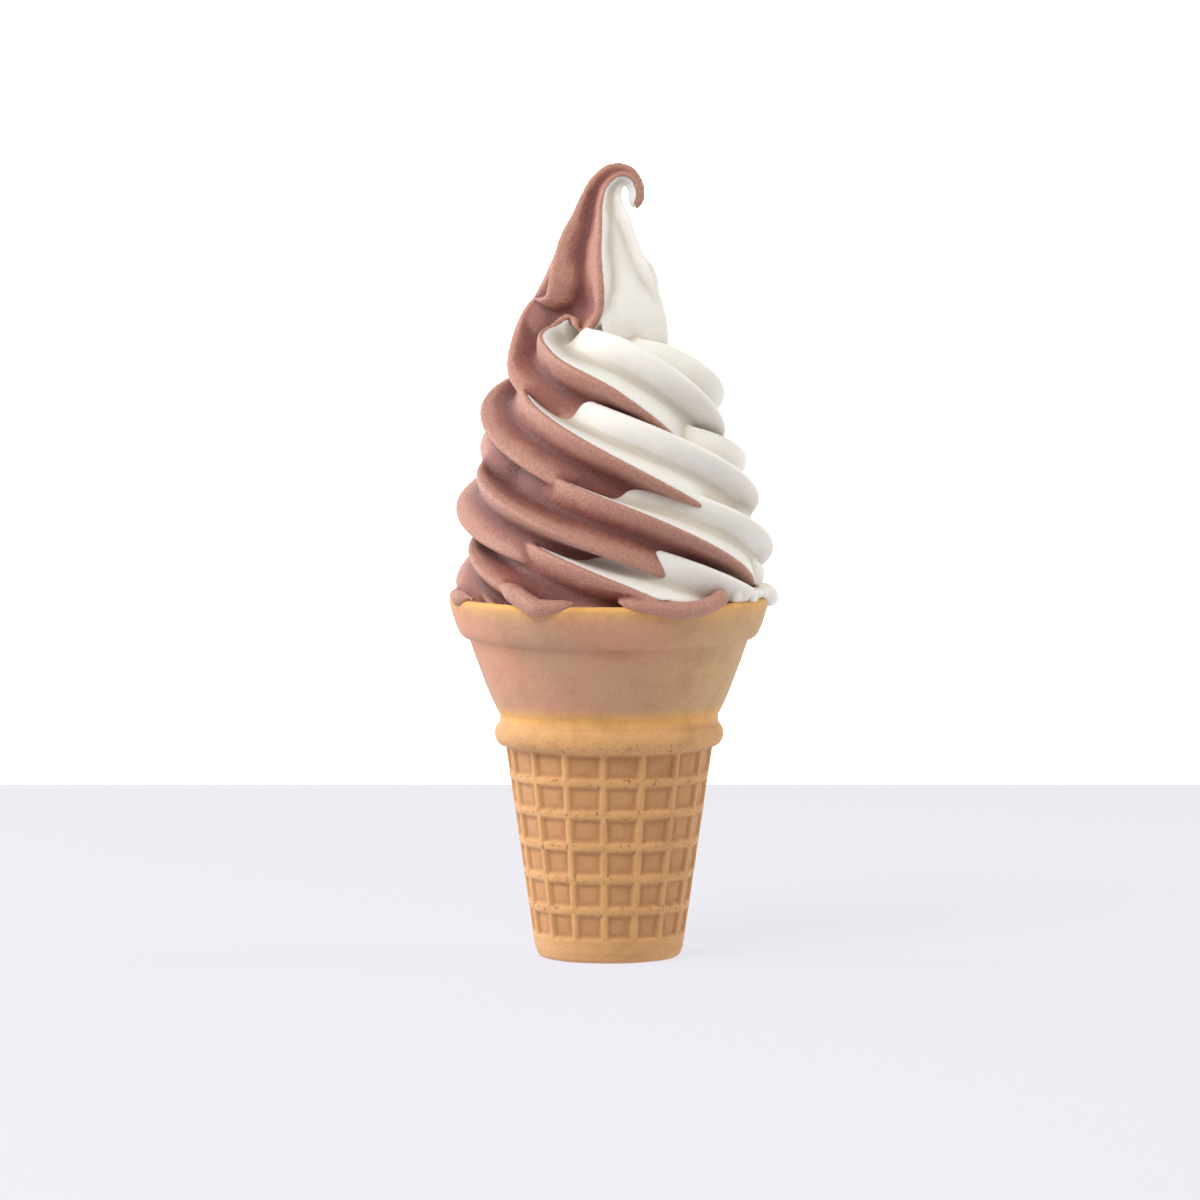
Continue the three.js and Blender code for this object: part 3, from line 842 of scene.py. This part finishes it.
@dataclass
class Rope:
    """Star-shaped rope laid in a clockwise climbing helix and drawn up into a curling peak.

    A station is: half turns from the right-hand side, sideways shift of the helix axis, helix
    radius, height above the cup's rim, rope radius, and turn of the star in degrees. The peak
    stands set_back behind the helix axis, and the star turns about Y alone past curl_from.
    """

    rim_height: float
    lobes: int = 6
    lobe_depth: float = 0.37
    crest_softness: float = 0.02
    start: float = -1.3
    end: float = 9.47
    curl_from: float = 8.3
    set_back: float = 5.0
    setting_back: tuple[float, float] = (6.8, 7.7)
    least_climb: float = -0.9
    stations: tuple[tuple[float, ...], ...] = (
        (-1.4, 1.3, 23.6, -8.2, 13.2, 32),
        (-1, 1.3, 25.0, -5.6, 13.4, 32),
        (0, 1.4, 26.2, -2.0, 13.6, 14),
        (0.5, 1.4, 26.0, 2.8, 13.8, 12),
        (1, 1.6, 25.8, 4.8, 13.6, 20),
        (2, 1.3, 25.8, 11.5, 13.3, 32),
        (2.5, 1.4, 25.8, 17.9, 12.9, 31),
        (3, 1.4, 25.2, 21.5, 13.8, 30),
        (4, 1.4, 22.2, 25.9, 13.6, 16),
        (5, 1.2, 20.2, 40.5, 13.8, 0),
        (6, 1.2, 14.6, 44.9, 14.0, 0),
        (6.5, 1.2, 13.0, 50.5, 15.0, 0),
        (6.75, 0.3, 12.4, 52.0, 14.2, -6),
        (7, -0.8, 11.0, 54.0, 14.0, -10),
        (7.25, -2.0, 8.5, 61.0, 16.0, -10),
        (7.5, -2.8, 3.5, 70.0, 17.0, -4),
        (7.75, -2.6, 0.7, 77.0, 15.2, 0),
        (8.0, -2.5, 0, 84.0, 12.2, 0),
        (8.2, -2.1, 0, 90.2, 9.4, 0),
        (8.4, -1.9, 0, 94.9, 6.9, 0),
        (8.6, -1.0, 0, 98.9, 5.2, 0),
        (8.8, 1.2, 0, 101.6, 4.2, 0),
        (8.95, 3.4, 0, 102.2, 3.4, 0),
        (9.1, 5.5, 0, 101.2, 2.8, 0),
        (9.25, 6.7, 0, 98.4, 2.5, 0),
        (9.4, 6.4, 0, 95.3, 2.1, 0),
        (9.47, 6.2, 0, 94.1, 0.9, 0),
    )

    def along(self, places: Array, column: int) -> Array:
        """Smooth value of one station column.

        Args:
            places: places along the rope in half turns.
            column: which number of the stations.

        Returns:
            The value at each place.
        """
        table = np.array(self.stations, float)
        spots, values = table[:, 0], table[:, column]
        slopes = np.empty_like(values)
        slopes[1:-1] = (values[2:] - values[:-2]) / (spots[2:] - spots[:-2])
        slopes[0] = (values[1] - values[0]) / (spots[1] - spots[0])
        slopes[-1] = (values[-1] - values[-2]) / (spots[-1] - spots[-2])
        i = np.clip(np.searchsorted(spots, places) - 1, 0, len(spots) - 2)
        span = spots[i + 1] - spots[i]
        t = (places - spots[i]) / span
        rise = t * t * (3 - 2 * t)
        ease = t * (1 - t) ** 2 * slopes[i] - t * t * (1 - t) * slopes[i + 1]
        return values[i] * (1 - rise) + values[i + 1] * rise + ease * span

    def middle(self, places: Array) -> Array:
        """Middle of the rope at places along it."""
        bearing = -math.pi * places
        radius = self.along(places, 2)
        back = self.set_back * smooth_step(places, *self.setting_back)
        return np.stack(
            [
                self.along(places, 1) + radius * np.cos(bearing),
                radius * np.sin(bearing) + back,
                self.rim_height + self.along(places, 3),
            ],
            axis=-1,
        )

    def direction(self, places: Array) -> Array:
        """Unit direction of the rope at places along it."""
        step = 1e-3
        travel = self.middle(places + step) - self.middle(places - step)
        return travel / np.linalg.norm(travel, axis=-1, keepdims=True)

    def star(self, angles: Array) -> Array:
        """Share of the rope radius at an angle of the section: 1 on a ridge of the star, less in a valley.
        """
        wave = np.sin(self.lobes / 2 * (angles - math.pi / 2))
        soft = math.sqrt(self.crest_softness)
        deepest = math.sqrt(1 + self.crest_softness) - soft
        dip = (np.sqrt(wave**2 + self.crest_softness) - soft) / deepest
        return 1.0 - self.lobe_depth * dip

    def surface(self, places: Array, angles: Array, inset: Array) -> Array:
        """Points of the rope's surface.

        Args:
            places: places along the rope in half turns, one for each row.
            angles: angles round the nozzle in radians.
            inset: how far under the surface each angle lies, in millimetres.

        Returns:
            The points as (place, angle, xyz).
        """
        radius = self.along(places, 4) * self._swell(places)
        reach = radius[:, None] * self.star(angles)[None, :] - inset[None, :]
        turned = angles[None, :] + np.radians(self.along(places, 5))[:, None]
        spoke = np.stack([reach * np.cos(turned), reach * np.sin(turned), np.zeros_like(reach)], -1)
        travel = self.direction(places)[:, None, :]
        axis = np.stack([-travel[..., 1], travel[..., 0], np.zeros_like(travel[..., 0])], -1)
        upward = np.clip(travel[..., 2:3], self.least_climb, 1.0)
        once = np.cross(axis, spoke)
        tilted = spoke + once + np.cross(axis, once) / (1 + upward)
        curled = self._in_the_curl(spoke, travel)
        high = (places > self.curl_from)[:, None, None]
        return self.middle(places)[:, None, :] + np.where(high, curled, tilted)

    @staticmethod
    def _in_the_curl(spoke: Array, travel: Array) -> Array:
        """Turn spokes about the Y axis only, so that the curl may point down and back."""
        turn = np.arctan2(travel[..., 0], travel[..., 2]) % (2 * math.pi)
        cos, sin = np.cos(turn), np.sin(turn)
        return np.stack([spoke[..., 0] * cos, spoke[..., 1], -spoke[..., 0] * sin], -1)

    @staticmethod
    def _swell(places: Array) -> Array:
        """Slight thickening and thinning of the rope as the hand slows and hurries."""
        coils = 1.0 - smooth_step(places, 6.0, 7.0)
        waves = 0.010 * np.sin(2.9 * places + 0.6) + 0.007 * np.sin(7.3 * places + 2.1)
        return 1.0 + coils * waves


@dataclass
class Drip:
    """Tongue of soft serve that lies over the rim.

    A bead is: bearing in degrees, distance from the cup's axis beyond the rim, height above the
    rim, and radius.
    """

    flavour: Flavour
    beads: tuple[tuple[float, float, float, float], ...]
    steps_per_bead: int = 8
    round_steps: int = 20
    end_length: float = 0.6
    end_share: float = 0.06

    def skin(self, rim_radius: float, rim_height: float) -> Skin:
        """Make the tongue as a tapering tube.

        Args:
            rim_radius: radius of the cup's rim.
            rim_height: height of the cup's rim.

        Returns:
            The tongue's closed skin.
        """
        table = np.array(self.beads)
        steps = np.linspace(0, len(table) - 1, self.steps_per_bead * len(table))
        beads = range(len(table))
        bearing, out, height, radius = (np.interp(steps, beads, column) for column in table.T)
        ends = np.minimum(steps, steps[-1] - steps)
        radius = radius * np.sqrt(np.clip(ends / self.end_length, self.end_share, 1.0))
        turn = np.radians(bearing)
        outward = np.stack([np.cos(turn), np.sin(turn), np.zeros_like(turn)], -1)
        middle = outward * (rim_radius + out)[:, None] + np.array([0, 0, rim_height])
        middle[:, 2] += height
        travel = np.gradient(middle, axis=0)
        travel /= np.linalg.norm(travel, axis=1, keepdims=True)
        side = np.cross(travel, outward)
        side /= np.linalg.norm(side, axis=1, keepdims=True)
        lift = np.cross(side, travel)
        round_ = np.linspace(0, 2 * math.pi, self.round_steps, endpoint=False)
        across = np.cos(round_)[None, :, None] * side[:, None, :]
        across = across + np.sin(round_)[None, :, None] * lift[:, None, :]
        return Skin.loft(middle[:, None, :] + radius[:, None, None] * across)


DRIPS = (
    Drip(Flavour.CHOCOLATE, ((273, -2.0, 1.4, 1.2), (279, -0.6, 0.7, 1.7), (285, 0.1, 0.1, 1.8),
                             (291, 0.2, -0.7, 2.0), (297, 0.4, -1.1, 2.3), (303, 0.2, -0.8, 2.1),
                             (309, 0.0, 0.2, 2.0), (313, -0.3, 1.2, 2.1), (317, -1.2, 2.6, 2.2))),
    Drip(Flavour.CHOCOLATE, ((226, -2.0, 4.5, 2.4), (236, -0.9, 1.8, 2.4), (244, 0.2, -0.4, 2.3),
                             (251, -0.4, 0.1, 1.6), (258, -1.8, 0.8, 1.0))),
    Drip(Flavour.CHOCOLATE, ((192, -1.2, 1.5, 1.6), (200, -0.2, 0.2, 1.9), (208, -1.2, 0.9, 1.4))),
    Drip(Flavour.CHOCOLATE, ((120, -1.6, 2.0, 2.0), (130, 0.0, -0.3, 2.3), (139, -1.4, 1.2, 1.6))),
    Drip(Flavour.VANILLA, ((346, -1.8, 3.2, 2.0), (353, -0.2, 0.6, 2.5), (359, 0.1, -0.4, 2.3),
                           (366, -1.4, 1.6, 1.8))),
    Drip(Flavour.VANILLA, ((48, -1.8, 2.2, 1.8), (58, -0.1, -0.2, 2.2), (66, -1.5, 1.2, 1.6))),
)


@dataclass(frozen=True)
class Crumbs:
    """Foamy crumbs of soft serve along a stretch of the rim, scattered from a seed.

    Each pair gives the least and the most: bearing in degrees, distance beyond the rim, height
    above the rim, and radius.
    """

    flavour: Flavour
    seed: int
    count: int
    bearings: tuple[float, float]
    out: tuple[float, float]
    height: tuple[float, float]
    radius: tuple[float, float]
    from_axis: float = 39.0

    def drips(self) -> list[Drip]:
        """Make each crumb as a very short drip."""
        draw = random.Random(self.seed)
        crumbs = []
        for _ in range(self.count):
            bearing, out = draw.uniform(*self.bearings), draw.uniform(*self.out)
            height, radius = draw.uniform(*self.height), draw.uniform(*self.radius)
            length = math.degrees(radius / self.from_axis)
            crumbs.append(Drip(self.flavour, (
                (bearing - length, out - 0.3, height, radius),
                (bearing, out, height + 0.2, radius * 1.15),
                (bearing + length, out - 0.2, height - 0.1, radius * 0.9),
            )))
        return crumbs


CRUMBS = (
    Crumbs(Flavour.VANILLA, SEED, 26, (322, 352), (-2.2, -0.2), (0.2, 1.8), (0.7, 1.3)),
    Crumbs(Flavour.CHOCOLATE, SEED + 1, 9, (184, 212), (-2.2, -0.4), (0.2, 1.2), (0.6, 1.1)),
)


@dataclass(frozen=True)
class Skirt:
    """Flared foot on one flavour's side, which leads from the peak on to the topmost coil.

    A row is: reach to the side, and height above the cup's rim.
    """

    flavour: Flavour
    middle: tuple[float, float]
    depth: float
    rows: tuple[tuple[float, float], ...]

    def skin(self, rim_height: float) -> Skin:
        """Make the foot as half of an oval cone.

        Args:
            rim_height: height of the cup's rim.

        Returns:
            The foot's closed skin.
        """
        side = math.radians(self.flavour.value)
        angles = np.linspace(side - math.pi / 2, side + math.pi / 2, 40)
        east, north = self.middle
        rings = []
        for reach, height in self.rows:
            x = east + reach * np.cos(angles)
            y = north + reach * self.depth * np.sin(angles)
            rings.append(np.stack([x, y, np.full_like(x, rim_height + height)], -1))
        return Skin.loft(np.array(rings))


SKIRTS = (
    Skirt(Flavour.VANILLA, (-1.6, 3.2), 0.72, (
        (14.5, 50), (16, 57), (16.2, 63), (15.6, 68), (14.2, 73), (12, 78), (9, 84), (5.5, 91))),
    Skirt(Flavour.CHOCOLATE, (-2.4, 6.5), 0.42, (
        (19, 50), (21, 56), (20.6, 62), (18.8, 67), (16.2, 72), (13.6, 77), (10.4, 84), (6, 92))),
)


@dataclass
class Swirl:
    """The coiled rope, with the core behind it and the skirts, drips and crumbs on it."""

    cup: WaferCup
    rope: Rope
    melt: Melt = field(default_factory=Melt)
    coil_steps: int = 60
    section_steps: int = 48
    lip: float = 3.4
    lap: float = 12.0
    lap_depth: float = 2.4
    core_shift: float = 1.4
    core: tuple[tuple[float, float], ...] = (
        (24, -12), (33, -3), (31.5, 0.3), (25, 5.7), (23, 21.7), (18, 36.7), (12, 48.7), (8, 58.7),
        (3, 66.7),
    )
    rim_clearance: float = 0.35
    above_rim: tuple[float, ...] = (-0.5, 0.4, 1.6, 3.5, 7.0)
    past_bore: tuple[float, ...] = (0.0, 0.9, 2.9, 5.0, 20.0)
    relief_rounds: int = 40
    relief_full: float = 0.32
    half_steps: int = 40

    def _half_rope(self, flavour: Flavour) -> Skin:
        """Make one flavour's half of the rope, its edges dipping under the other flavour.

        Args:
            flavour: which flavour.

        Returns:
            The half rope's closed skin.
        """
        edge = 90.0 + (self.lip if flavour is Flavour.CHOCOLATE else -self.lip)
        off = np.linspace(-edge - self.lap, edge + self.lap, self.section_steps)
        inset = self.lap_depth * np.clip((np.abs(off) - edge) / self.lap, 0.0, 1.0)
        steps = int((self.rope.end - self.rope.start) * self.coil_steps)
        places = np.linspace(self.rope.start, self.rope.end, steps)
        return Skin.loft(self.rope.surface(places, np.radians(off + flavour.value), inset))

    def _half_core(self, flavour: Flavour) -> Skin:
        """Make one flavour's half of the plain core that closes the middle of the helix.

        Args:
            flavour: which flavour.

        Returns:
            The half core's closed skin.
        """
        middle = math.radians(flavour.value)
        angles = np.linspace(middle - math.pi / 2, middle + math.pi / 2, self.half_steps)
        rows = []
        for radius, height in self.core:
            x = self.core_shift + radius * np.cos(angles)
            y = radius * np.sin(angles)
            rows.append(np.stack([x, y, np.full_like(x, self.rope.rim_height + height)], -1))
        return Skin.loft(np.array(rows))

    def _keep_in_cup(self, skin: Skin) -> Skin:
        """Press what lies below the rim inside the cup, and let what lies above it spread.

        Args:
            skin: the skin to press.

        Returns:
            The pressed skin, with the same faces.
        """
        points = skin.points.copy()
        above = points[:, 2] - self.cup.height
        out = np.hypot(points[:, 0], points[:, 1])
        bore = self.cup.bore_radius(np.minimum(points[:, 2], self.cup.height))
        spread = np.interp(above, self.above_rim, self.past_bore)
        limit = bore - self.rim_clearance + spread
        share = np.minimum(limit / np.maximum(out, 1e-6), 1.0)
        points[:, 0] *= share
        points[:, 1] *= share
        return Skin(points, skin.faces)

    def build(self, flavour: Flavour, finish: CreamFinish) -> bpy.types.Object:
        """Make one flavour's mesh and dress it.

        Args:
            flavour: which flavour.
            finish: its finish.

        Returns:
            The finished piece.
        """
        hanging = [drip for drip in DRIPS if drip.flavour is flavour]
        hanging += [drip for crumbs in CRUMBS if crumbs.flavour is flavour for drip in crumbs.drips()]
        skins = [self._keep_in_cup(self._half_rope(flavour)), self._half_core(flavour)]
        skins += [skirt.skin(self.cup.height) for skirt in SKIRTS if skirt.flavour is flavour]
        skins += [drip.skin(self.cup.rim_radius, self.cup.height) for drip in hanging]
        piece = Skin.joined(skins).to_object(f"{flavour.name.lower()}_soft_serve")
        self.melt.apply(piece)
        paint_relief(piece, self.relief_rounds, self.relief_full)
        shade_smooth(piece)
        piece.data.materials.append(finish.material())
        return piece


# ---------------------------------------------------------------------------------------------
# Studio
# ---------------------------------------------------------------------------------------------


@dataclass(frozen=True)
class SoftBox:
    """Square soft light that faces the object, in metres."""

    name: str
    place: tuple[float, float, float]
    size: float
    power: float
    tint: Colour
    aim: tuple[float, float, float] = (0.0, 0.0, 0.1)

    def build(self) -> None:
        """Add the light."""
        light = bpy.data.lights.new(self.name, "AREA")
        light.shape = "SQUARE"
        light.size = self.size
        light.energy = self.power
        light.color = self.tint
        lamp = bpy.data.objects.new(self.name, light)
        bpy.context.scene.collection.objects.link(lamp)
        lamp.location = self.place
        beam = Vector(self.aim) - Vector(self.place)
        lamp.rotation_euler = beam.to_track_quat("-Z", "Y").to_euler()


@dataclass
class Studio:
    """Pale floor, white backdrop, soft lights, white room and the camera, in metres."""

    eye: tuple[float, float, float] = (-0.00219, -1.850, 0.22825)
    pitch: float = 4.36
    lens: float = 228.4
    sensor: float = 36.0
    floor_back: float = 0.4175
    floor_half: float = 3.0
    floor_finish: StageFinish = StageFinish("pale_floor", (0.1195, 0.1185, 0.1270), 5.95)
    backdrop_finish: StageFinish = StageFinish("white_backdrop", (1.0, 1.0, 1.0), 1.0)
    backdrop_distance: float = 2.6
    backdrop_low: float = -1.5
    backdrop_high: float = 2.5
    room_tint: Colour = (0.97, 0.98, 1.0)
    room_strength: float = 0.36
    soft_boxes: tuple[SoftBox, ...] = (
        SoftBox("key", (-0.55, -0.75, 1.05), 0.7, 14.0, (1.0, 0.99, 0.97)),
        SoftBox("side", (1.0, 0.1, 0.45), 0.6, 4.4, (1.0, 0.96, 0.84)),
        SoftBox("left", (-1.0, 0.25, 0.35), 0.5, 7.5, (1.0, 0.96, 0.97)),
    )

    @staticmethod
    def _sheet(name: str, corners: list[tuple[float, float, float]], finish: StageFinish) -> None:
        """Add one flat sheet of the stage.

        Args:
            name: the sheet's name.
            corners: its four corners.
            finish: its paint.
        """
        mesh = bpy.data.meshes.new(name)
        mesh.from_pydata(corners, [], [(0, 1, 2, 3)])
        sheet = bpy.data.objects.new(name, mesh)
        bpy.context.scene.collection.objects.link(sheet)
        mesh.materials.append(finish.material())

    def _stage(self) -> None:
        """Add the floor, and the backdrop behind it."""
        half, back = self.floor_half, self.floor_back
        floor = [(-half, -half, 0), (half, -half, 0), (half, back, 0), (-half, back, 0)]
        self._sheet("floor", floor, self.floor_finish)
        far, low, high = self.backdrop_distance, self.backdrop_low, self.backdrop_high
        wall = [(-half, far, low), (half, far, low), (half, far, high), (-half, far, high)]
        self._sheet("backdrop", wall, self.backdrop_finish)

    def _lights(self) -> None:
        """Add the soft lights and the white room."""
        for box in self.soft_boxes:
            box.build()
        world = bpy.data.worlds.new("room")
        bpy.context.scene.world = world
        world.use_nodes = True
        room = world.node_tree.nodes["Background"]
        room.inputs["Color"].default_value = (*self.room_tint, 1.0)
        room.inputs["Strength"].default_value = self.room_strength

    def _camera(self) -> None:
        """Add the camera and make it the scene's."""
        lens = bpy.data.cameras.new("camera")
        lens.lens = self.lens
        lens.sensor_width = self.sensor
        lens.clip_end = 20.0
        camera = bpy.data.objects.new("camera", lens)
        bpy.context.scene.collection.objects.link(camera)
        camera.location = self.eye
        camera.rotation_euler = (math.radians(90.0 - self.pitch), 0.0, 0.0)
        bpy.context.scene.camera = camera

    def build(self) -> None:
        """Set up the whole studio."""
        self._stage()
        self._lights()
        self._camera()
        bpy.context.scene.view_settings.view_transform = "Standard"


# ---------------------------------------------------------------------------------------------
# The whole
# ---------------------------------------------------------------------------------------------


def hand_over(piece: bpy.types.Object, node: str) -> None:
    """Put a finished piece in the place of its node.

    Args:
        piece: the finished piece.
        node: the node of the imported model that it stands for.
    """
    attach(piece, BODY)
    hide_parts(node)
    LOG.info("%s: %d points, %d faces", piece.name, len(piece.data.vertices), len(piece.data.polygons))


def main() -> None:
    """Build the cup, the two flavours and the studio."""
    logging.basicConfig(level=logging.INFO, format="%(name)s: %(message)s")
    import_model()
    low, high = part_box("wafer_cup")
    Studio().build()
    cup = WaferCup(height=high.z / MM, rim_radius=(high.x - low.x) / 2 / MM)
    hand_over(cup.build(WaferFinish()), "wafer_cup")
    swirl = Swirl(cup, Rope(rim_height=cup.height))
    hand_over(swirl.build(Flavour.CHOCOLATE, CHOCOLATE), "chocolate_swirl")
    hand_over(swirl.build(Flavour.VANILLA, VANILLA), "vanilla_swirl")


if __name__ == "__main__":
    main()
